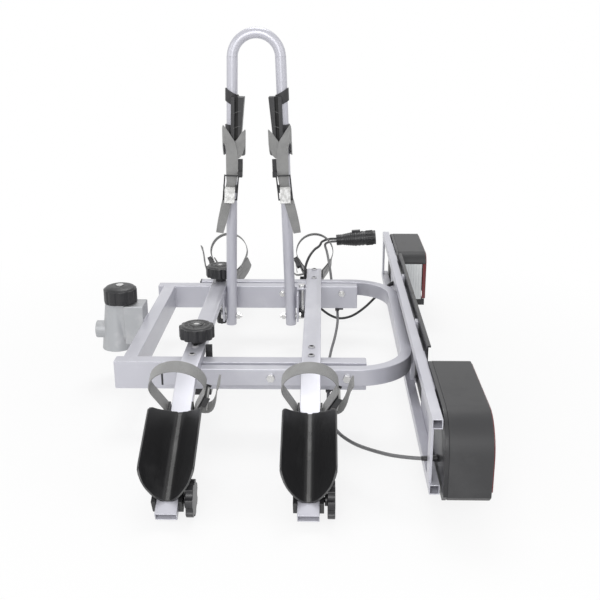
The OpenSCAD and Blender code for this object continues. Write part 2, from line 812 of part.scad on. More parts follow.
// Back plate, bottom tray, bulb holders and bulbs
module lamp_bases() {
  color([0.14, 0.14, 0.15])
    both_sides() {
      lamp_slab(bar_x + bar_w + 2.2, lamp_x[0], 0.5);
      difference() {
        lamp_slab(lamp_x[0], lamp_x[1], 3.2);
        lamp_slab(lamp_x[0] - 1, lamp_x[1] + 1, 6);
        box([lamp_x[0] - 1, lamp_y[0] - 5, -12], [lamp_x[1] + 1, lamp_y[1] + 15, lamp_z[1] + 4]);
      }
      for (y = [lamp_y[0] + 40, lamp_y[0] + 115, lamp_y[1] - 45]) {
        translate([lamp_x[0] - 0.1, y, 30]) rotate([0, 90, 0]) cylinder(r = 10, h = 14);
        translate([lamp_x[0] + 24, y, 30]) sphere(r = 11);
      }
    }
}

// Curved hood, open at the rear, cut away below the inner corner for the window
module lamp_hoods() {
  color([0.33, 0.33, 0.34])
    both_sides()
      difference() {
        lamp_slab(lamp_x[0], lamp_x[1], 0);
        lamp_slab(lamp_x[0] - 1, lamp_x[1] + 1, 2.6);
        box([lamp_x[0] - 1, lamp_y[0] - 5, lamp_z[0] - 10], [lamp_x[1] + 1, lamp_y[0] + 4.5, lamp_z[1] - 24]);
        box([lamp_x[0] - 1, lamp_y[0] - 5, lamp_z[0] - 10], [lamp_x[1] + 1, lamp_y[1] - 9, lamp_z[0] + 4]);
      }
}

module lamp_lenses() {
  color([0.45, 0.10, 0.12])
    both_sides()
      difference() {
        lamp_slab(lamp_x[1] - 6, lamp_x[1] + 2, 3);
        box([lamp_x[1] - 10, lamp_y[0] - 5, -40], [lamp_x[1] + 10, lamp_y[1] + 15, -11]);
        lamp_slab(lamp_x[1] - 7, lamp_x[1] - 0.5, 5.5);
      }
}

module lamp_windows() {
  color([0.85, 0.87, 0.88])
    both_sides()
      box([lamp_x[0] + 1, lamp_y[0] + 1, -12], [lamp_x[1] - 8, lamp_y[0] + 3.4, lamp_z[1] - 24.5]);
}

// Leads and plug

module cable_clip(at) {
  difference() {
    union() {
      translate(at - [0, 5, 0]) rotate([-90, 0, 0]) cylinder(r = 4.6, h = 10);
      box([at[0] - 4.6, at[1] - 5, at[2]], [at[0] + 13, at[1] + 5, 0]);
    }
    translate(at - [0, 7, 0]) rotate([-90, 0, 0]) cylinder(r = 3.4, h = 14);
    translate([at[0] + 9, at[1], -9]) cylinder(r = 1.6, h = 12);
  }
}

module cable_clips() {
  color([0.15, 0.15, 0.16]) {
    cable_clip(near_clip);
    cable_clip(far_clip);
  }
}

function unit(v) = v / norm(v);

// Point on the smooth curve through the route, at part t of its stretch i
function route_point(route, i, t) =
  let (n = len(route) - 1,
       a = route[max(i - 1, 0)], b = route[i], c = route[min(i + 1, n)], d = route[min(i + 2, n)])
  0.5 * (2 * b + (c - a) * t + (2 * a - 5 * b + 4 * c - d) * t * t + (3 * b - a - 3 * c + d) * t * t * t);

function fine_route(route) = concat(
  [for (i = [0:len(route) - 2], k = [0, 1]) route_point(route, i, k / 2)],
  [route[len(route) - 1]]);

function ring(route, i, r) =
  let (n = len(route) - 1,
       dir = i == 0 ? [-1, 0, 0] * (route[0][0] > route[1][0] ? 1 : -1)
           : i == n ? [1, 0, 0]
           : unit(route[i + 1] - route[i - 1]),
       up = abs(dir[2]) > 0.8 ? [0, 1, 0] : [0, 0, 1],
       u = unit(cross(dir, up)),
       v = cross(u, dir))
  [for (k = [0:lead_sides - 1]) route[i] + r * (cos(k * 360 / lead_sides) * u + sin(k * 360 / lead_sides) * v)];

module lead(route) {
  path = fine_route(route);
  n = len(path);
  m = lead_sides;
  points = [for (i = [0:n - 1]) each ring(path, i, lead_d / 2)];
  sides = [for (i = [0:n - 2], k = [0:m - 1])
    [i * m + k, i * m + (k + 1) % m, (i + 1) * m + (k + 1) % m, (i + 1) * m + k]];
  color([0.13, 0.13, 0.14])
    polyhedron(points, concat(
      sides,
      [[for (k = [m - 1:-1:0]) k]],
      [[for (k = [0:m - 1]) (n - 1) * m + k]]));
}

module trailer_plug() {
  color([0.14, 0.14, 0.15])
    translate(plug_tail) rotate([0, 85.5, 0])
      difference() {
        union() {
          cylinder(r = 12.5, h = 14);
          translate([0, 0, 14]) cylinder(r1 = 12.5, r2 = 17, h = 30);
          for (z = [44, 52, 60])
            translate([0, 0, z]) cylinder(r = 17.5, h = 5);
          translate([0, 0, 44]) cylinder(r = 16.6, h = 50);
          translate([0, 0, 70]) cylinder(r = 17, h = 18);
          box([-21, -5, 38], [-14, 5, 58]);
        }
        translate([0, 0, 76]) cylinder(r = 14.5, h = 30);
      }
}

side_beams();
front_crossbar();
rear_bow();
bow_end_plugs();
frame_bolts();
front_rail();
rear_rail();
front_rail_screws();
rear_rail_screws();
rail_knob(knob_y[0]);  // near_rail_knob
rail_knob(knob_y[1]);  // far_rail_knob
near_rail_claw();
far_rail_claw();
coupling_housing();
coupling_knob();
coupling_spindle();
ball_pad();
adjuster_bolt();
hoop();
hoop_brackets();
hoop_bolts();
frame_pad(true);  // left_frame_pad
pad_strap(true);  // left_pad_strap
pad_buckle(true);  // left_pad_buckle
pad_lever(true);  // left_pad_lever
frame_pad(false);  // right_frame_pad
pad_strap(false);  // right_pad_strap
pad_buckle(false);  // right_pad_buckle
pad_lever(false);  // right_pad_lever
tray(rail_x[0], -1);  // tray_front_near
tray_knob(rail_x[0], -1);  // knob_front_near
wheel_strap(rail_x[0], -1);  // strap_front_near
strap_buckle(rail_x[0], -1);  // buckle_front_near
strap_lever(rail_x[0], -1);  // lever_front_near
tray(rail_x[0], 1);  // tray_front_far
tray_knob(rail_x[0], 1);  // knob_front_far
wheel_strap(rail_x[0], 1);  // strap_front_far
strap_buckle(rail_x[0], 1);  // buckle_front_far
strap_lever(rail_x[0], 1);  // lever_front_far
tray(rail_x[1], -1);  // tray_rear_near
tray_knob(rail_x[1], -1);  // knob_rear_near
wheel_strap(rail_x[1], -1);  // strap_rear_near
strap_buckle(rail_x[1], -1);  // buckle_rear_near
strap_lever(rail_x[1], -1);  // lever_rear_near
tray(rail_x[1], 1);  // tray_rear_far
tray_knob(rail_x[1], 1);  // knob_rear_far
wheel_strap(rail_x[1], 1);  // strap_rear_far
strap_buckle(rail_x[1], 1);  // buckle_rear_far
strap_lever(rail_x[1], 1);  // lever_rear_far
light_bars();
light_bar_struts();
plate_holder();
lamp_bases();
lamp_hoods();
lamp_lenses();
lamp_windows();
cable_clips();
lead(near_lead_route);  // near_lamp_lead
lead(far_lead_route);  // far_lamp_lead
trailer_plug();
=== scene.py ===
"""Looks of the hitch bike rack: camera, leads, webbing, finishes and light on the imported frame."""
import math

import bmesh
import bpy
from mathutils import Matrix, Vector


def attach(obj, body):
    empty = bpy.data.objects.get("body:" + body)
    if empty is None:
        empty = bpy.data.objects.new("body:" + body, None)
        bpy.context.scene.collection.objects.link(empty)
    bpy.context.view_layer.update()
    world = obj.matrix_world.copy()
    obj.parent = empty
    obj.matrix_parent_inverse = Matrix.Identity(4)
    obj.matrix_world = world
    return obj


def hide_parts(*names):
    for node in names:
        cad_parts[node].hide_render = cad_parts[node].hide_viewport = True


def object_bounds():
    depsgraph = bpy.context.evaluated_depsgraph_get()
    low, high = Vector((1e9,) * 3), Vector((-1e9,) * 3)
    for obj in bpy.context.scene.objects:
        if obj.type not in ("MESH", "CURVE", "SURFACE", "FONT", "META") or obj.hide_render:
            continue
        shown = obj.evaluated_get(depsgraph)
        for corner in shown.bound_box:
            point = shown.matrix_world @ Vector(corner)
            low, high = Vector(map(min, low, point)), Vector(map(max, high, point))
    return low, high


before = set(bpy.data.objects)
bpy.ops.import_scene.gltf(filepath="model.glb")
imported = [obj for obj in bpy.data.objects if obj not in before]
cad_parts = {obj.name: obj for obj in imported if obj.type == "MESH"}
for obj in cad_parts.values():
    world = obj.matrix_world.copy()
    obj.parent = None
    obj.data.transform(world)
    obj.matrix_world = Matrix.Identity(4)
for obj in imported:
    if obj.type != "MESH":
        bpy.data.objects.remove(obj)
cad_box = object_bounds()
scene = bpy.context.scene
mm = 0.001

# Camera, solved from the photograph's straight edges

camera_place = (0.40449, -1.60419, 0.62555)
camera_turns = ((1.5343, "Z"), (71.4488, "X"), (-0.2113, "Z"))
camera = bpy.data.objects.new("Photo camera", bpy.data.cameras.new("Photo camera"))
scene.collection.objects.link(camera)
camera.data.lens = 52.207
camera.data.sensor_width = 36
camera.data.clip_end = 50
view = Matrix.Translation(camera_place)
for degrees, axis in camera_turns:
    view = view @ Matrix.Rotation(math.radians(degrees), 4, axis)
camera.matrix_world = view
scene.camera = camera

# Shared effects


def new_group(name, inputs, outputs):
    """Node group with named sockets, and the nodes that carry them."""
    group = bpy.data.node_groups.new(name, "ShaderNodeTree")
    for label, kind, value in inputs:
        socket = group.interface.new_socket(label, in_out="INPUT", socket_type=kind)
        socket.default_value = value
    for label, kind in outputs:
        group.interface.new_socket(label, in_out="OUTPUT", socket_type=kind)
    way_in = group.nodes.new("NodeGroupInput")
    way_out = group.nodes.new("NodeGroupOutput")
    return group, way_in, way_out


def add_math(tree, operation, first, second=None):
    """Math node on sockets or numbers, as its output socket."""
    node = tree.nodes.new("ShaderNodeMath")
    node.operation = operation
    for socket, value in zip(node.inputs, (first, second)):
        if value is None:
            continue
        if isinstance(value, (int, float)):
            socket.default_value = value
        else:
            tree.links.new(value, socket)
    return node.outputs[0]


def make_grain():
    """Fine moulded or sprayed grain, with a slow drift in tone over the piece."""
    group, way_in, way_out = new_group(
        "Surface grain",
        [("Grain size", "NodeSocketFloat", 0.0008), ("Drift size", "NodeSocketFloat", 0.09)],
        [("Height", "NodeSocketFloat"), ("Drift", "NodeSocketFloat")],
    )
    place = group.nodes.new("ShaderNodeTexCoord")
    for label, size, detail in (("Height", "Grain size", 2.0), ("Drift", "Drift size", 3.0)):
        noise = group.nodes.new("ShaderNodeTexNoise")
        noise.inputs["Detail"].default_value = detail
        group.links.new(place.outputs["Object"], noise.inputs["Vector"])
        scale = add_math(group, "DIVIDE", 1.0, way_in.outputs[size])
        group.links.new(scale, noise.inputs["Scale"])
        group.links.new(noise.outputs["Fac"], way_out.inputs[label])
    return group


def make_handling():
    """Rubbed and dusty patches that handling leaves, as a mask."""
    group, way_in, way_out = new_group(
        "Handling marks",
        [("Patch size", "NodeSocketFloat", 0.05), ("Share", "NodeSocketFloat", 0.4)],
        [("Mask", "NodeSocketFloat")],
    )
    place = group.nodes.new("ShaderNodeTexCoord")
    noise = group.nodes.new("ShaderNodeTexNoise")
    noise.inputs["Detail"].default_value = 6.0
    noise.inputs["Roughness"].default_value = 0.62
    group.links.new(place.outputs["Object"], noise.inputs["Vector"])
    group.links.new(add_math(group, "DIVIDE", 1.0, way_in.outputs["Patch size"]), noise.inputs["Scale"])
    edge = group.nodes.new("ShaderNodeMapRange")
    edge.interpolation_type = "SMOOTHSTEP"
    group.links.new(noise.outputs["Fac"], edge.inputs["Value"])
    group.links.new(add_math(group, "SUBTRACT", 0.82, way_in.outputs["Share"]), edge.inputs["From Min"])
    group.links.new(add_math(group, "SUBTRACT", 1.0, way_in.outputs["Share"]), edge.inputs["From Max"])
    group.links.new(edge.outputs["Result"], way_out.inputs["Mask"])
    return group


def make_weave():
    """Webbing: lengthwise ribs crossed by the weft, from the piece's UV map in metres."""
    group, way_in, way_out = new_group(
        "Webbing weave",
        [("Rib width", "NodeSocketFloat", 0.0016), ("Weft step", "NodeSocketFloat", 0.0011)],
        [("Height", "NodeSocketFloat"), ("Tone", "NodeSocketFloat")],
    )
    uv = group.nodes.new("ShaderNodeUVMap")
    uv.uv_map = "Webbing"
    parts = group.nodes.new("ShaderNodeSeparateXYZ")
    group.links.new(uv.outputs["UV"], parts.inputs["Vector"])

    def ripple(value, step):
        turns = add_math(group, "DIVIDE", value, step)
        angle = add_math(group, "MULTIPLY", turns, 2 * math.pi)
        wave = add_math(group, "SINE", angle)
        return add_math(group, "MULTIPLY", add_math(group, "ADD", wave, 1.0), 0.5)

    ribs = ripple(parts.outputs["X"], way_in.outputs["Rib width"])
    shift = add_math(group, "MULTIPLY", ribs, 0.0004)
    weft = ripple(add_math(group, "ADD", parts.outputs["Y"], shift), way_in.outputs["Weft step"])
    height = add_math(group, "ADD", add_math(group, "MULTIPLY", ribs, 0.6),
                      add_math(group, "MULTIPLY", weft, 0.4))
    group.links.new(height, way_out.inputs["Height"])
    group.links.new(height, way_out.inputs["Tone"])
    return group


def make_flutes():
    """Upright prisms moulded into a lamp's lens or window, as a height."""
    group, way_in, way_out = new_group(
        "Lens prisms", [("Step", "NodeSocketFloat", 0.004)], [("Height", "NodeSocketFloat")])
    place = group.nodes.new("ShaderNodeTexCoord")
    parts = group.nodes.new("ShaderNodeSeparateXYZ")
    group.links.new(place.outputs["Object"], parts.inputs["Vector"])
    along = add_math(group, "ADD", parts.outputs["X"], parts.outputs["Y"])
    turns = add_math(group, "MULTIPLY", add_math(group, "DIVIDE", along, way_in.outputs["Step"]), 2 * math.pi)
    group.links.new(add_math(group, "ABSOLUTE", add_math(group, "SINE", turns)), way_out.inputs["Height"])
    return group


grain, handling, weave, flutes = make_grain(), make_handling(), make_weave(), make_flutes()

# Finishes


def use_group(tree, group, **values):
    """Group node, with an underscore for each space in its inputs' names."""
    node = tree.nodes.new("ShaderNodeGroup")
    node.node_tree = group
    for label, value in values.items():
        node.inputs[label.replace("_", " ")].default_value = value
    return node


def blend_colors(tree, factor, first, second):
    """Colour between two, each a socket or three numbers."""
    mix = tree.nodes.new("ShaderNodeMix")
    mix.data_type = "RGBA"
    tree.links.new(factor, mix.inputs["Factor"])
    for socket, value in ((mix.inputs[6], first), (mix.inputs[7], second)):
        if isinstance(value, tuple):
            socket.default_value = (*value, 1.0)
        else:
            tree.links.new(value, socket)
    return mix.outputs[2]


def make_finish(name, color, marked, rough, metallic=0.0, coat=0.0, grain_size=0.0008, bump=0.12,
                patch=0.05, share=0.35, drift=0.09, deep=None, prisms=0.0, specular=0.5):
    """Finish with drifting tone, handling marks in colour and gloss, and a fine grain as bump."""
    material = bpy.data.materials.new(name)
    material.use_nodes = True
    tree = material.node_tree
    shader = tree.nodes["Principled BSDF"]
    fine = use_group(tree, grain, Grain_size=grain_size, Drift_size=drift)
    marks = use_group(tree, handling, Patch_size=patch, Share=share)
    deep = deep or tuple(0.9 * c for c in color)
    tone = blend_colors(tree, fine.outputs["Drift"], deep, color)
    faded = add_math(tree, "MULTIPLY", marks.outputs["Mask"], 0.5)
    tree.links.new(blend_colors(tree, faded, tone, marked), shader.inputs["Base Color"])
    gloss = tree.nodes.new("ShaderNodeMapRange")
    gloss.inputs["To Min"].default_value = rough[0]
    gloss.inputs["To Max"].default_value = rough[1]
    tree.links.new(marks.outputs["Mask"], gloss.inputs["Value"])
    tree.links.new(gloss.outputs["Result"], shader.inputs["Roughness"])
    shader.inputs["Metallic"].default_value = metallic
    shader.inputs["Specular IOR Level"].default_value = specular
    shader.inputs["Coat Weight"].default_value = coat
    shader.inputs["Coat Roughness"].default_value = 0.2
    relief = tree.nodes.new("ShaderNodeBump")
    relief.inputs["Strength"].default_value = bump
    relief.inputs["Distance"].default_value = 0.0003
    tree.links.new(fine.outputs["Height"], relief.inputs["Height"])
    if prisms:
        cut = tree.nodes.new("ShaderNodeBump")
        cut.inputs["Strength"].default_value = 0.7
        cut.inputs["Distance"].default_value = 0.0006
        tree.links.new(use_group(tree, flutes, Step=prisms).outputs["Height"], cut.inputs["Height"])
        tree.links.new(relief.outputs["Normal"], cut.inputs["Normal"])
        relief = cut
    tree.links.new(relief.outputs["Normal"], shader.inputs["Normal"])
    return material


def make_webbing():
    """Woven grey straps, paler where they are rubbed."""
    material = bpy.data.materials.new("Grey webbing")
    material.use_nodes = True
    tree = material.node_tree
    shader = tree.nodes["Principled BSDF"]
    cloth = use_group(tree, weave)
    marks = use_group(tree, handling, Patch_size=0.03, Share=0.42)
    threads = blend_colors(tree, cloth.outputs["Tone"], (0.165, 0.165, 0.163), (0.325, 0.325, 0.322))
    rubbed = add_math(tree, "MULTIPLY", marks.outputs["Mask"], 0.25)
    tree.links.new(blend_colors(tree, rubbed, threads, (0.37, 0.37, 0.365)), shader.inputs["Base Color"])
    shader.inputs["Roughness"].default_value = 0.72
    shader.inputs["Sheen Weight"].default_value = 0.25
    shader.inputs["Sheen Roughness"].default_value = 0.5
    relief = tree.nodes.new("ShaderNodeBump")
    relief.inputs["Strength"].default_value = 0.6
    relief.inputs["Distance"].default_value = 0.0004
    tree.links.new(cloth.outputs["Height"], relief.inputs["Height"])
    tree.links.new(relief.outputs["Normal"], shader.inputs["Normal"])
    return material


powder_coat = make_finish(
    "Silver powder coat", (0.56, 0.56, 0.61), (0.64, 0.64, 0.68), (0.34, 0.46), metallic=0.25, coat=0.15,
    grain_size=0.0011, bump=0.10, patch=0.12, share=0.3, deep=(0.50, 0.50, 0.555))
bright_zinc = make_finish(
    "Bright zinc", (0.70, 0.70, 0.70), (0.55, 0.54, 0.52), (0.25, 0.42), metallic=0.85,
    grain_size=0.0005, bump=0.08, patch=0.01, drift=0.02)
cast_alloy = make_finish(
    "Cast alloy", (0.43, 0.44, 0.455), (0.52, 0.52, 0.53), (0.42, 0.56), metallic=0.3,
    grain_size=0.0012, bump=0.3, patch=0.03)
black_plastic = make_finish(
    "Black moulded plastic", (0.017, 0.017, 0.019), (0.032, 0.032, 0.034), (0.36, 0.52),
    grain_size=0.0006, bump=0.16, patch=0.04)
tray_plastic = make_finish(
    "Tray plastic", (0.011, 0.011, 0.012), (0.017, 0.017, 0.018), (0.34, 0.46),
    grain_size=0.0007, bump=0.10, patch=0.06, share=0.3)
dark_steel = make_finish(
    "Dark coated steel", (0.022, 0.022, 0.024), (0.05, 0.05, 0.05), (0.32, 0.5), metallic=0.2,
    grain_size=0.0007, patch=0.02)
buckle_steel = make_finish(
    "Pressed buckle steel", (0.47, 0.47, 0.465), (0.37, 0.37, 0.36), (0.42, 0.56), metallic=0.55,
    grain_size=0.0009, bump=0.45, patch=0.008, share=0.4, drift=0.01)
dull_zinc = make_finish(
    "Dull zinc", (0.43, 0.43, 0.445), (0.36, 0.36, 0.36), (0.45, 0.6), metallic=0.3,
    grain_size=0.0005, bump=0.1, patch=0.01, drift=0.02)
# Paler plastic that paints the light on the knob tops' rings and spokes, with rubbed patches
knob_top_highlight = make_finish(
    "Knob top with painted highlight", (0.075, 0.075, 0.077), (0.105, 0.105, 0.105), (0.34, 0.5),
    grain_size=0.0006, bump=0.16, patch=0.02, share=0.4)
hood_plastic = make_finish(
    "Lamp hood plastic", (0.050, 0.050, 0.052), (0.066, 0.066, 0.068), (0.42, 0.56),
    bump=0.18, patch=0.08, share=0.3, specular=0.25)
lens_red = make_finish(
    "Red lens", (0.16, 0.008, 0.012), (0.20, 0.012, 0.016), (0.12, 0.2), coat=0.6,
    grain_size=0.0012, bump=0.02, share=0.3, prisms=0.006)
clear_window = make_finish(
    "Clear window", (0.72, 0.74, 0.75), (0.8, 0.82, 0.82), (0.08, 0.16), coat=0.4,
    grain_size=0.002, bump=0.02, share=0.3, prisms=0.012)
# Paler plastic that paints the highlight along the floor of each tray's groove, with rubbed patches; also on
# the bars across the pad grooves
groove_highlight_plastic = make_finish(
    "Groove plastic with painted highlight", (0.085, 0.085, 0.085), (0.13, 0.13, 0.13), (0.26, 0.4),
    grain_size=0.0007, bump=0.1, patch=0.04)
# Paler plastic that paints the highlight along the trays' lips, with rubbed patches
lip_highlight_plastic = make_finish(
    "Lip plastic with painted highlight", (0.045, 0.045, 0.047), (0.10, 0.10, 0.10), (0.28, 0.42),
    grain_size=0.0007, bump=0.1, patch=0.03, share=0.45)
# Near-black that paints the shade in the knob pits and on the walls of the pad grooves, with rubbed patches
painted_shade_rubber = make_finish(
    "Near-black rubber for painted shade", (0.004, 0.004, 0.004), (0.010, 0.010, 0.010), (0.6, 0.75),
    grain_size=0.0009, bump=0.2, patch=0.03)
cable_rubber = make_finish(
    "Cable sheath", (0.018, 0.018, 0.020), (0.035, 0.035, 0.036), (0.42, 0.58),
    grain_size=0.0006, bump=0.1, patch=0.03)
grey_sheath = make_finish(
    "Grey cable sheath", (0.15, 0.15, 0.155), (0.20, 0.20, 0.20), (0.36, 0.5),
    grain_size=0.0006, bump=0.1, patch=0.03)
webbing = make_webbing()

# Leads, along the routes of part.scad in millimetres

lead_diameter = 5.6

def smooth_line(corners, steps):
    """Points on the smooth curve through the corners."""
    last = len(corners) - 1
    points = []
    for i in range(last):
        a, b = Vector(corners[max(i - 1, 0)]), Vector(corners[i])
        c, d = Vector(corners[i + 1]), Vector(corners[min(i + 2, last)])
        for k in range(steps):
            t = k / steps
            points.append(0.5 * (2 * b + (c - a) * t + (2 * a - 5 * b + 4 * c - d) * t * t
                                 + (3 * b - a - 3 * c + d) * t ** 3))
    points.append(Vector(corners[last]))
    return points


near_route = [
    (573.2, -476, 6), (564, -475, 5), (548, -470, 2), (525, -457, -3), (500, -441, -7),
    (466, -410, -12), (444, -384, -13), (428, -355, -12), (420, -315, -10), (416, -270, -7),
    (416, -215, -6), (416, -150, -13), (417, -70, -22), (423, 15, -25), (432, 90, -22),
    (438, 155, -13), (438, 215, -6), (436, 247, -5), (431, 268, 6), (427, 280, 28),
    (424, 294, 50), (421, 312, 66), (418, 337, 77), (415, 363, 85), (412, 386, 89),
    (411, 402, 91), (415, 414, 92.5), (425, 422, 93.5), (438, 424, 93.7)]
far_route = [
    (573.2, 345, 14), (562, 338, 12), (545, 318, 5), (527, 300, -6), (503, 290, -27),
    (475, 286, -46), (447, 286, -53), (424, 289, -47), (402, 293, -32), (380, 298, -12),
    (368, 302, 14), (365, 304, 40), (366, 308, 63), (374, 318, 84), (386, 338, 96),
    (396, 361, 97.6), (400, 383, 97.2), (402, 400, 97.2), (406.2, 412.3, 97.4), (415.3, 420.4, 99.2),
    (427, 423, 100.4), (438, 423, 100.5)]


def lamp_lead(name, corners, node, sheath):
    """Lead from its lamp to the plug, as a round curve standing in for the CAD node."""
    points = [mm * p for p in smooth_line(corners, 5)]
    line = bpy.data.curves.new(name, "CURVE")
    line.dimensions = "3D"
    line.bevel_depth = lead_diameter / 2 * mm
    line.bevel_resolution = 4
    line.use_fill_caps = True
    spline = line.splines.new("POLY")
    spline.points.add(len(points) - 1)
    for spot, point in zip(spline.points, points):
        spot.co = (*point, 1)
    spline.use_smooth = True
    piece = bpy.data.objects.new(name, line)
    scene.collection.objects.link(piece)
    line.materials.append(sheath)
    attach(piece, "frame")
    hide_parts(node)


lamp_lead("Near_lead", near_route, "near_lamp_lead", grey_sheath)
lamp_lead("Far_lead", far_route, "far_lamp_lead", cable_rubber)

# Places, in millimetres

holders = [(rail, side) for rail in ("front", "rear") for side in ("near", "far")]
rail_knobs = (("near", -175), ("far", 196))
knob_x = 184.5
rail_top = 65
slope_start, slope = 290, 26
hoop_x = 273.4
leg_foot, leg_lean = (209.4, 161, -3), 1.76
rail_x = {"front": 183.5, "rear": 386.5}
rail_lift = {"front": 0.3, "rear": 0.0}


def tray_place(rail, side):
    """Frame of a tray: X across, Y down the slope, Z off the rail's top. Takes millimetres to metres."""
    return (
        Matrix.Scale(mm, 4)
        @ Matrix.Translation((rail_x[rail], 0, 0))
        @ Matrix.Rotation(0 if side == "far" else math.pi, 4, "Z")
        @ Matrix.Translation((0, slope_start, rail_top + rail_lift[rail]))
        @ Matrix.Rotation(math.radians(-slope), 4, "X")
    )


def leg_place(side):
    """Frame of a hoop leg: X to the middle, Y to the far side, Z up. Takes millimetres to metres."""
    place = Matrix.Translation(leg_foot) @ Matrix.Rotation(math.radians(leg_lean), 4, "Y")
    if side == "right":
        place = Matrix.Translation((2 * hoop_x, 0, 0)) @ Matrix.Scale(-1, 4, (1, 0, 0)) @ place
    return Matrix.Scale(mm, 4) @ place


# Making pieces


def new_piece(name, bm, material, body, nodes=()):
    """Smooth piece from a mesh in metres, riding on its body and standing for the nodes."""
    bmesh.ops.recalc_face_normals(bm, faces=bm.faces)
    mesh = bpy.data.meshes.new(name)
    bm.to_mesh(mesh)
    bm.free()
    mesh.materials.append(material)
    mesh.polygons.foreach_set("use_smooth", [True] * len(mesh.polygons))
    piece = bpy.data.objects.new(name, mesh)
    scene.collection.objects.link(piece)
    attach(piece, body)
    if nodes:
        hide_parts(*nodes)
    return piece


def lay_band(bm, edges):
    """Band of webbing pulled out edge by edge, each edge two points, with its run kept for the weave."""
    run = bm.verts.layers.float.get("run") or bm.verts.layers.float.new("run")
    across = bm.verts.layers.float.get("across") or bm.verts.layers.float.new("across")
    left, right = (bm.verts.new(p) for p in edges[0])
    width = (right.co - left.co).length
    right[across] = width
    edge = bm.edges.new((left, right))
    length = 0.0
    for a, b in edges[1:]:
        pulled = bmesh.ops.extrude_edge_only(bm, edges=[edge])["geom"]
        ends = sorted((g for g in pulled if isinstance(g, bmesh.types.BMVert)), key=lambda v: v[across])
        edge = bm.edges.get(ends)
        middle = (ends[0].co + ends[1].co) / 2
        ends[0].co, ends[1].co = a, b
        length += ((ends[0].co + ends[1].co) / 2 - middle).length
        for v in ends:
            v[run] = length


def weave_map(bm):
    """UV map in metres: across the band and along it."""
    run = bm.verts.layers.float["run"]
    across = bm.verts.layers.float["across"]
    uv = bm.loops.layers.uv.new("Webbing")
    for face in bm.faces:
        for loop in face.loops:
            loop[uv].uv = (loop.vert[across] * mm, loop.vert[run] * mm)


def even_shading(piece):
    """Shading that follows the large faces, so that softened edges stay narrow."""
    shade = piece.modifiers.new("Even shading", "WEIGHTED_NORMAL")
    shade.mode = "FACE_AREA"
    shade.weight = 100


def thicken(piece, thick):
    """Gives a band its thickness, with woven edges that are slightly round."""
    wall = piece.modifiers.new("Thickness", "SOLIDIFY")
    wall.thickness = thick
    wall.offset = 0
    soft = piece.modifiers.new("Woven edges", "BEVEL")
    soft.width = 0.3 * thick
    soft.segments = 2
    soft.limit_method = "ANGLE"
    soft.angle_limit = math.radians(50)
    even_shading(piece)


def shifted(bm, old, place):
    """Places the vertices that were made since the set was taken."""
    bmesh.ops.transform(bm, matrix=place, verts=[v for v in bm.verts if v not in old])


def turned(bm, profile, place, steps=40):
    """Profile of radius and height points turned about Z, then placed. All in millimetres."""
    old = set(bm.verts)
    spots = [bm.verts.new((r, 0, z)) for r, z in profile]
    lines = [bm.edges.new(pair) for pair in zip(spots, spots[1:])]
    bmesh.ops.spin(bm, geom=spots + lines, cent=(0, 0, 0), axis=(0, 0, 1), angle=2 * math.pi, steps=steps)
    bmesh.ops.remove_doubles(bm, verts=[v for v in bm.verts if v not in old], dist=0.001)
    shifted(bm, old, place)


def swept(bm, path, radii, sides):
    """Round tube through the points, with a radius at each and both ends closed. All in millimetres."""
    path = [Vector(p) for p in path]
    last = len(path) - 1
    places = []
    for i, (point, radius) in enumerate(zip(path, radii)):
        along = path[min(i + 1, last)] - path[max(i - 1, 0)]
        places.append(Matrix.Translation(point) @ along.to_track_quat("Z", "Y").to_matrix().to_4x4()
                      @ Matrix.Scale(radius, 4))
    ring = bmesh.ops.create_circle(bm, cap_ends=True, segments=sides, radius=1, matrix=places[0])["verts"]
    edges = list({e for v in ring for e in v.link_edges})
    for before, after in zip(places, places[1:]):
        pulled = bmesh.ops.extrude_edge_only(bm, edges=edges)["geom"]
        ring = {g for g in pulled if isinstance(g, bmesh.types.BMVert)}
        edges = [g for g in pulled if isinstance(g, bmesh.types.BMEdge) and set(g.verts) <= ring]
        bmesh.ops.transform(bm, matrix=after @ before.inverted(), verts=list(ring))
    bmesh.ops.edgeloop_fill(bm, edges=edges)


def placed_piece(name, bm, material, body, place=None):
    """New piece from shapes in millimetres."""
    to_metres = Matrix.Scale(mm, 4)
    bmesh.ops.transform(bm, matrix=(to_metres @ place) if place else to_metres, verts=bm.verts)
    piece = new_piece(name, bm, material, body)
    shade = piece.modifiers.new("Normals", "WEIGHTED_NORMAL")
    shade.keep_sharp = True


# Wheel straps


def wheel_strap(rail, side):
    """Loop of webbing round the wheel's place and under the rail, and its free tail."""
    place = tray_place(rail, side)
    upper, lower = 69.0, 91.0
    r, middle = 43.1, 53
    turns = [math.radians(a) for a in range(90, -1, -6)]
    half = [(r * math.cos(a), middle + r * math.sin(a)) for a in turns]
    half += [(r - 0.9, 46.5), (r - 3.0, 40), (r - 9.2, 26), (r - 15.8, 11), (r - 21.0, -1), (r - 22.4, -6),
             (r - 22.4, -13.2), (r - 24.0, -16.1), (r - 30.0, -16.2), (0, -16.2)]
    loop = half[::-1] + [(-x, z) for x, z in half[1:]]
    tail = [(-23.4, 1.9), (-30, -0.6), (-38, -2.2), (-44, -1.4), (-48.6, 2.4), (-52, 8), (-55, 17),
            (-57.5, 28), (-59.2, 40), (-61.6, 53), (-65, 66)]
    bm = bmesh.new()
    lay_band(bm, [((x, upper, z), (x, lower, z)) for x, z in loop])
    lay_band(bm, [((x, upper + 0.1, z), (x, lower - 0.1, z)) for x, z in tail])
    weave_map(bm)
    bmesh.ops.transform(bm, matrix=place, verts=bm.verts)
    piece = new_piece(f"Wheel_strap_{rail}_{side}", bm, webbing, f"holder_{rail}_{side}",
                      [f"strap_{rail}_{side}"])
    thicken(piece, 1.5 * mm)


for rail, side in holders:
    wheel_strap(rail, side)

# Pad straps


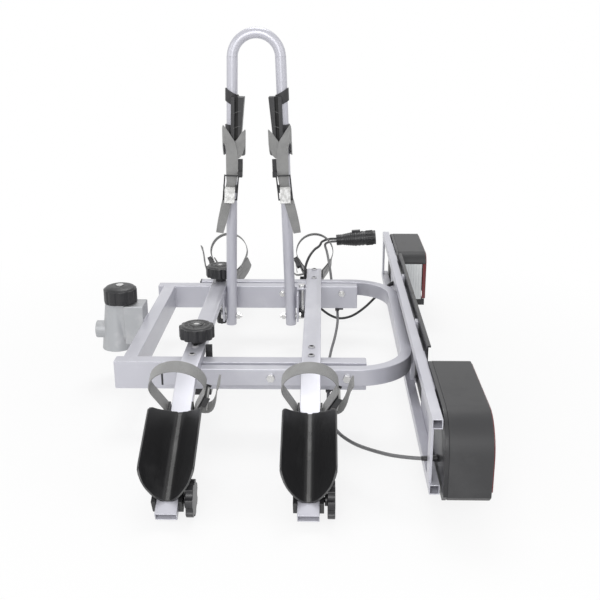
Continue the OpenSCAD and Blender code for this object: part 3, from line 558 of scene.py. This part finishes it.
def pad_strap(side):
    """Webbing that crosses in front of the pad's foot, wraps the leg and hangs down through the buckle."""
    front = -29.5
    wrap = 15.4
    turns = [math.radians(a) for a in range(0, 181, 15)]
    around = [(wrap * math.cos(a), wrap * math.sin(a)) for a in turns]
    corners = [
        ((6, -27.2, 374), (12, -27.2, 342)), ((14, -27.2, 384), (20, -27.2, 347)),
        ((20, -27.2, 393), (25, -27.2, 356)), ((26.5, -27.0, 400), (28.2, -27.0, 367)),
        ((28.6, -25.5, 401), (28.8, -25.5, 370)), ((28.4, -22.5, 394), (28.4, -22.5, 364)),
        ((28.2, -17, 383), (28.2, -17, 355)), ((27, -12, 375), (27, -12, 349)),
        ((23, -7.5, 370.3), (23, -7.5, 346.5)), ((18.6, -3.6, 370.2), (18.6, -3.6, 346.3)),
        *[((u, v, 370.2), (u, v, 346.3)) for u, v in around],
        ((-15.5, -9, 373), (-15.5, -9, 348)), ((-15.6, -18, 384), (-15.6, -18, 357)),
        ((-16.2, -25, 398), (-15.6, -25, 367)), ((-15.8, -28.4, 407), (-14.8, -28.4, 373)),
        ((-14, front, 409), (-12.6, front, 373)), ((-6, front, 399), (-10, front, 364)),
        ((3, front, 386), (-9.2, front, 354)), ((8.6, front, 377), (-9.0, front, 344)),
        ((13, front, 361), (-8.8, front, 331)), ((15, front, 344), (-8.6, front, 318)),
        ((15.2, front, 326), (-8.4, front, 307)), ((13.5, front, 306), (-8, front - 0.3, 297)),
        ((11, front - 0.5, 290), (-10, front - 0.5, 285)), ((8, front - 1, 274), (-13, front - 1, 271)),
        ((3.5, front, 257), (-17, front, 258)), ((-2, front + 1, 235), (-21.5, front + 1, 237)),
        ((-8, front - 0.5, 212), (-26, front - 0.5, 214)), ((-14, front - 3, 190), (-29, front - 3, 192))]
    bm = bmesh.new()
    lay_band(bm, list(zip(*(smooth_line(line, 4) for line in zip(*corners)))))
    weave_map(bm)
    bmesh.ops.transform(bm, matrix=leg_place(side), verts=bm.verts)
    piece = new_piece(f"Pad_strap_{side}", bm, webbing, f"{side}_pad", [f"{side}_pad_strap"])
    thicken(piece, 1.7 * mm)


for side in ("left", "right"):
    pad_strap(side)

# Finishes on the CAD nodes


def dress(node, material, edge=0.5, angle=32.0):
    """Material, joined seams, smooth shading and softened edges on a CAD node."""
    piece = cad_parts[node]
    piece.data.materials.clear()
    piece.data.materials.append(material)
    piece.data.polygons.foreach_set("use_smooth", [True] * len(piece.data.polygons))
    weld = piece.modifiers.new("Joined seams", "WELD")
    weld.merge_threshold = 0.01 * mm
    flat = piece.modifiers.new("Whole faces", "DECIMATE")
    flat.decimate_type = "DISSOLVE"
    flat.angle_limit = math.radians(0.4)
    flat.delimit = {"MATERIAL"}
    soft = piece.modifiers.new("Soft edges", "BEVEL")
    soft.width = edge * mm
    soft.segments = 2
    soft.limit_method = "ANGLE"
    soft.angle_limit = math.radians(angle)
    soft.use_clamp_overlap = False
    even_shading(piece)


# Each node's finish, and how far its edges are softened in millimetres
finishes = {
    "side_beams": (powder_coat, 1.6), "front_crossbar": (powder_coat, 1.6), "rear_bow": (powder_coat, 1.6),
    "front_rail": (powder_coat, 0.8), "rear_rail": (powder_coat, 0.8), "hoop": (powder_coat, 0.4),
    "light_bars": (powder_coat, 0.6), "light_bar_struts": (powder_coat, 0.5),
    "bow_end_plugs": (black_plastic, 0.6), "frame_bolts": (bright_zinc, 0.4),
    "front_rail_screws": (dull_zinc, 0.2), "rear_rail_screws": (dull_zinc, 0.2),
    "near_rail_knob": (black_plastic, 0.8), "far_rail_knob": (black_plastic, 0.8),
    "near_rail_claw": (dark_steel, 0.5), "far_rail_claw": (dark_steel, 0.5),
    "coupling_housing": (cast_alloy, 1.2), "coupling_knob": (black_plastic, 0.5),
    "coupling_spindle": (bright_zinc, 0.3), "ball_pad": (cast_alloy, 0.3),
    "adjuster_bolt": (bright_zinc, 0.4), "hoop_brackets": (powder_coat, 0.4),
    "hoop_bolts": (bright_zinc, 0.4),
    "plate_holder": (black_plastic, 0.4), "lamp_bases": (black_plastic, 0.5),
    "lamp_hoods": (hood_plastic, 1.0), "lamp_lenses": (lens_red, 0.6), "lamp_windows": (clear_window, 0.4),
    "cable_clips": (black_plastic, 0.4), "trailer_plug": (black_plastic, 0.6),
}
for side in ("left", "right"):
    finishes[f"{side}_frame_pad"] = (black_plastic, 0.6)
    finishes[f"{side}_pad_buckle"] = (dark_steel, 0.2)
    finishes[f"{side}_pad_lever"] = (buckle_steel, 0.4)
for rail, side in holders:
    finishes[f"tray_{rail}_{side}"] = (tray_plastic, 0.5)
    finishes[f"knob_{rail}_{side}"] = (black_plastic, 0.8)
    finishes[f"buckle_{rail}_{side}"] = (black_plastic, 0.3)
    finishes[f"lever_{rail}_{side}"] = (buckle_steel, 0.4)
for node, (material, edge) in finishes.items():
    dress(node, material, edge)

# A second finish on parts of CAD nodes


def dress_faces(node, material, belongs):
    """Gives the faces whose middle and direction pass the test another finish."""
    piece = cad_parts[node]
    piece.data.materials.append(material)
    index = len(piece.data.materials) - 1
    for face in piece.data.polygons:
        if belongs(face.center / mm, face.normal):
            face.material_index = index


def in_socket(x, spots):
    """Test for faces inside the screw heads at x and the y places, which turn black as painted shade in the
    sockets.
    """
    return lambda c, n: c.z > rail_top + 0.5 and min(math.hypot(c.x - x, c.y - y) for y in spots) < 4.1


def on_insert(y):
    """Test for the metal insert and stud of the rail knob at y."""
    return lambda c, n: math.hypot(c.x - knob_x, c.y - y) < 7.6 and (c.z > 99.35 or c.z < rail_top)


def on_block_bolt(c, n):
    """Test for the block bolts beside the right hinge bolt."""
    return 350 < c.x < 370.5 and 179 < c.y < 223 and c.z < 0 and math.hypot(c.x - 361, c.y - 190) > 7


def in_tray_groove(place):
    """Test for the floor of a tray's groove, where the paler plastic paints the highlight."""
    inverse = place.inverted()

    def belongs(c, n):
        spot = inverse @ (c * mm)
        return abs(spot.x) < 4.1 and n.z > 0.3 and 1.1 < spot.z < 3.5
    return belongs


def in_pad_groove(place):
    """Test for the walls of a frame pad's groove, which get near-black as painted shade."""
    inverse = place.inverted()

    def belongs(c, n):
        spot = inverse @ (c * mm)
        return 7.2 < spot.x < 14.3 and -25.8 < spot.y < -16
    return belongs


# Faces inside the screw heads turn black: painted shade in their sockets
dress_faces("front_rail_screws", black_plastic, in_socket(183.5, (-193.5, -232.5)))
dress_faces("rear_rail_screws", black_plastic, in_socket(386.5, (-193.5, -232.5, 216, 281)))
for side, y in rail_knobs:
    dress_faces(f"{side}_rail_knob", bright_zinc, on_insert(y))
dress_faces("hoop_bolts", black_plastic, on_block_bolt)
for rail, side in holders:
    # The groove floors take the paler plastic: a painted highlight along each tray's groove
    dress_faces(f"tray_{rail}_{side}", groove_highlight_plastic, in_tray_groove(tray_place(rail, side)))
for side in ("left", "right"):
    # The groove walls take near-black: painted shade inside the groove
    dress_faces(f"{side}_frame_pad", painted_shade_rubber, in_pad_groove(leg_place(side)))

# Knob faces: rings and spokes in paler plastic that paints the light on the top, and the two pits beside each
# metal insert

for side, y in rail_knobs:
    bm = bmesh.new()
    crown = Matrix.Translation((knob_x, y, 65.3))
    turned(bm, [(24.9, 33.7), (24.5, 34.7), (23.4, 35.3), (22.1, 35.0), (21.2, 33.9)], crown, 72)
    turned(bm, [(15.6, 33.9), (15.2, 34.6), (14.2, 34.9), (13.2, 34.6), (12.9, 33.9)], crown, 60)
    turned(bm, [(5.0, 33.9), (5.0, 36.2), (5.3, 36.6), (10.9, 36.6), (11.3, 36.2), (11.6, 33.9)], crown, 48)
    for k in range(12):
        spoke = crown @ Matrix.Rotation(math.radians(30 * k + 15), 4, "Z")
        old = set(bm.verts)
        swept(bm, [(15, 0, 33.9), (16, 0, 34.2), (20.4, 0, 34.2), (21.6, 0, 33.9)], [0.5, 0.8, 0.8, 0.5], 8)
        shifted(bm, old, spoke)
    placed_piece(f"Knob_face_{side}", bm, knob_top_highlight, f"{side}_clamp_knob")
    # The pits are flat near-black discs on the knob's face: painted shade where the hollows are
    bm = bmesh.new()
    for x in (-8.1, 8.1):
        turned(bm, [(0, 36.7), (2.3, 36.7), (2.5, 36.5)], crown @ Matrix.Translation((x, 0, 0)), 28)
    placed_piece(f"Knob_pit_shade_{side}", bm, painted_shade_rubber, f"{side}_clamp_knob")

# Weld seams


def weld_seam(bm, a, b, size=2.0):
    """Bead of weld along an edge, with the ripple of its puddles."""
    a, b = Vector(a), Vector(b)
    steps = max(6, round((b - a).length / 1.1))
    path = [a.lerp(b, k / steps) for k in range(steps + 1)]
    radii = [size * (0.9 + 0.1 * math.cos(k * 2 * math.pi / 3)) for k in range(steps + 1)]
    radii[0] = radii[-1] = 0.5 * size
    swept(bm, path, radii, 8)


bm = bmesh.new()
for s in (-1, 1):
    for x in (58, 83):
        weld_seam(bm, (x, 202.5 * s, 2), (x, 202.5 * s, 48))
    weld_seam(bm, (59, 202.5 * s, 0), (82, 202.5 * s, 0), 1.6)
    weld_seam(bm, (58, 23.5 * s, 3), (58, 23.5 * s, 47), 2.4)
    for y in (138, 163):
        weld_seam(bm, (564.3, y * s, 22), (564.3, y * s, 48), 1.8)
    for y in (493, 518):
        weld_seam(bm, (557, y * s, -9.5), (560, y * s, -9.5), 1.2)
        weld_seam(bm, (557, y * s, 77.5), (560, y * s, 77.5), 1.2)
weld_seam(bm, (58.4, -21, 50), (58.4, 21, 50), 2.2)
for x in (192.4, 196.4, 350.4, 354.4):
    weld_seam(bm, (x, 202.3, 4), (x, 202.3, 46), 1.5)
placed_piece("Weld_seams", bm, powder_coat, "frame")

# Tray lips, in paler plastic that paints the highlight along the trays' rims

wall_line = [(2, 5), (4.3, 10.5), (14.2, 19.2), (30.5, 31.2), (46.2, 40.0), (60, 40.0)]


def wall_x(z):
    """Middle of the tray's wall at a height, in millimetres."""
    for (z0, x0), (z1, x1) in zip(wall_line, wall_line[1:]):
        if z <= z1:
            return x0 + (x1 - x0) * max(0.0, z - z0) / (z1 - z0)
    return wall_line[-1][1]


for rail, side in holders:
    edge = [(96, 8), (99, 13), (105, 22), (109, 29), (114, 39), (118, 43.5), (124, 46.2), (150, 46.4),
            (180, 46.4), (205, 46.4), (219, 46.4)]
    edge += [(219 + 34 * math.cos(math.radians(a)), 4 + 42.4 * math.sin(math.radians(a)))
             for a in range(84, 0, -6)]
    half = [(wall_x(z), s, z) for s, z in edge]
    bm = bmesh.new()
    for sign in (-1, 1):
        swept(bm, [(sign * x, s, z) for x, s, z in half], [1.0] + [1.35] * (len(half) - 2) + [1.0], 10)
    placed_piece(f"Tray_lip_{rail}_{side}", bm, lip_highlight_plastic, f"holder_{rail}_{side}",
                 Matrix.Scale(1 / mm, 4) @ tray_place(rail, side))

# Bars across the grooves of the frame pads

for side in ("left", "right"):
    bm = bmesh.new()
    for w in (403, 432):
        swept(bm, [(4.5, -25.7, w), (7.2, -26.3, w + 1), (14.2, -26.3, w + 4), (20.5, -25.7, w + 5.5)],
              [0.4, 0.55, 0.55, 0.4], 10)
    placed_piece(f"Pad_bars_{side}", bm, groove_highlight_plastic, f"{side}_pad",
                 Matrix.Scale(1 / mm, 4) @ leg_place(side))

# Strain reliefs, plug ribs and contacts


def strain_relief(bm, route, reach=24):
    """Ribbed taper that follows a lead out of its lamp."""
    points = smooth_line(route, 12)
    path, gone = [points[0]], 0.0
    for a, b in zip(points, points[1:]):
        gone += (b - a).length
        if gone > reach:
            break
        path.append(b)
    last = len(path) - 1
    swept(bm, path, [5.6 - 2.2 * k / last + (0.35 if k % 3 == 1 else 0) for k in range(last + 1)], 20)


bm = bmesh.new()
strain_relief(bm, [(573.2, -476, 6)] + near_route[1:])
strain_relief(bm, [(570.9, 344, 13.7)] + far_route[1:])
placed_piece("Strain_reliefs", bm, black_plastic, "frame")

plug_place = Matrix.Translation((438, 423.5, 97.1)) @ Matrix.Rotation(math.radians(85.5), 4, "Y")
bm = bmesh.new()
for z in (3, 6.5, 10):
    turned(bm, [(12.3, z - 1.1), (13.1, z - 0.6), (13.3, z), (13.1, z + 0.6), (12.3, z + 1.1)],
           plug_place, 40)
for z in (19, 24, 29, 34, 39):
    r = 12.5 + 4.5 * (z - 14) / 30
    turned(bm, [(r - 0.3, z - 1.5), (r + 0.7, z - 0.7), (r + 0.8, z + 0.5), (r - 0.1, z + 1.5)],
           plug_place, 48)
for k in range(24):
    old = set(bm.verts)
    swept(bm, [(17.0, 0, 71), (17.35, 0, 72.5), (17.35, 0, 85.5), (17.0, 0, 87)], [0.5, 0.7, 0.7, 0.5], 6)
    shifted(bm, old, plug_place @ Matrix.Rotation(math.radians(15 * k), 4, "Z"))
placed_piece("Plug_ribs", bm, black_plastic, "frame")
bm = bmesh.new()
for count, radius in ((8, 10.2), (4, 5.0), (1, 0.0)):
    for k in range(count):
        angle = 2 * math.pi * k / count
        turned(bm, [(0, 88.5), (0.7, 88.3), (1.15, 87.4), (1.15, 76.2), (0, 76.2)],
               plug_place @ Matrix.Translation((radius * math.cos(angle), radius * math.sin(angle), 0)), 12)
placed_piece("Plug_contacts", bm, bright_zinc, "frame")

# Hems on the webbing's free ends

for rail, side in holders:
    bm = bmesh.new()
    run = [(-60.6, 53.5), (-62.3, 57.5), (-63.8, 62), (-65.2, 66.2)]
    lay_band(bm, [((x - 1.5, 69.4, z - 0.2), (x - 1.5, 90.6, z - 0.2)) for x, z in run])
    weave_map(bm)
    bmesh.ops.transform(bm, matrix=tray_place(rail, side), verts=bm.verts)
    hem = new_piece(f"Strap_hem_{rail}_{side}", bm, webbing, f"holder_{rail}_{side}")
    thicken(hem, 1.3 * mm)

# Floor, light and world


def seen_directly(tree):
    """One for the rays that show a background: camera, glossy and transmission."""
    path = tree.nodes.new("ShaderNodeLightPath")
    seen = add_math(tree, "MAXIMUM", path.outputs["Is Camera Ray"], path.outputs["Is Transmission Ray"])
    return add_math(tree, "MAXIMUM", seen, path.outputs["Is Glossy Ray"])


def make_floor():
    """Pale floor that keeps the shadow and fades to white away from the object."""
    bm = bmesh.new()
    bmesh.ops.create_grid(bm, x_segments=1, y_segments=1, size=6)
    bmesh.ops.translate(bm, vec=(0.3, 0, cad_box[0][2] - 0.0005), verts=bm.verts)
    mesh = bpy.data.meshes.new("Floor")
    bm.to_mesh(mesh)
    bm.free()
    floor = bpy.data.objects.new("Floor", mesh)
    scene.collection.objects.link(floor)
    material = bpy.data.materials.new("Pale floor")
    material.use_nodes = True
    tree = material.node_tree
    shader = tree.nodes["Principled BSDF"]
    shader.inputs["Base Color"].default_value = (0.9, 0.9, 0.9, 1)
    shader.inputs["Roughness"].default_value = 0.9
    place = tree.nodes.new("ShaderNodeTexCoord")
    away = tree.nodes.new("ShaderNodeVectorMath")
    away.operation = "DISTANCE"
    away.inputs[1].default_value = (0.3, 0.0, cad_box[0][2])
    tree.links.new(place.outputs["Object"], away.inputs[0])
    fade = tree.nodes.new("ShaderNodeMapRange")
    fade.interpolation_type = "SMOOTHSTEP"
    fade.inputs["From Min"].default_value = 0.35
    fade.inputs["From Max"].default_value = 1.1
    fade.inputs["To Min"].default_value = 0.8
    fade.inputs["To Max"].default_value = 1.0
    tree.links.new(away.outputs["Value"], fade.inputs["Value"])
    white = tree.nodes.new("ShaderNodeEmission")
    mixed = tree.nodes.new("ShaderNodeMixShader")
    share = add_math(tree, "MULTIPLY", fade.outputs["Result"], seen_directly(tree))
    tree.links.new(share, mixed.inputs["Fac"])
    tree.links.new(shader.outputs["BSDF"], mixed.inputs[1])
    tree.links.new(white.outputs["Emission"], mixed.inputs[2])
    tree.links.new(mixed.outputs["Shader"], tree.nodes["Material Output"].inputs["Surface"])
    mesh.materials.append(material)


def area_lamp(name, place, target, size, power):
    """Round lamp aimed at a point."""
    lamp = bpy.data.objects.new(name, bpy.data.lights.new(name, "AREA"))
    scene.collection.objects.link(lamp)
    lamp.data.shape = "DISK"
    lamp.data.size = size
    lamp.data.energy = power
    aim = Vector(target) - Vector(place)
    lamp.matrix_world = Matrix.Translation(place) @ aim.to_track_quat("-Z", "Y").to_matrix().to_4x4()


make_floor()
area_lamp("Top light", (0.3, 1.1, 2.5), (0.3, 0, 0.1), 1.5, 27)
area_lamp("Front light", (0.1, -2.8, 1.3), (0.3, 0, 0.15), 1.8, 42)
area_lamp("Left fill", (-2.4, -1.2, 1.2), (0.3, 0, 0.1), 1.8, 12)
area_lamp("Right fill", (2.8, -1.2, 1.4), (0.4, 0, 0.1), 1.8, 9)

world = bpy.data.worlds.new("White studio")
scene.world = world
world.use_nodes = True
sky = world.node_tree
sky.nodes.clear()
level = sky.nodes.new("ShaderNodeMapRange")
level.inputs["To Min"].default_value = 0.46
level.inputs["To Max"].default_value = 1.0
sky.links.new(seen_directly(sky), level.inputs["Value"])
background = sky.nodes.new("ShaderNodeBackground")
background.inputs["Color"].default_value = (1, 1, 1, 1)
sky.links.new(level.outputs["Result"], background.inputs["Strength"])
output = sky.nodes.new("ShaderNodeOutputWorld")
sky.links.new(background.outputs["Background"], output.inputs["Surface"])

scene.view_settings.view_transform = "Standard"
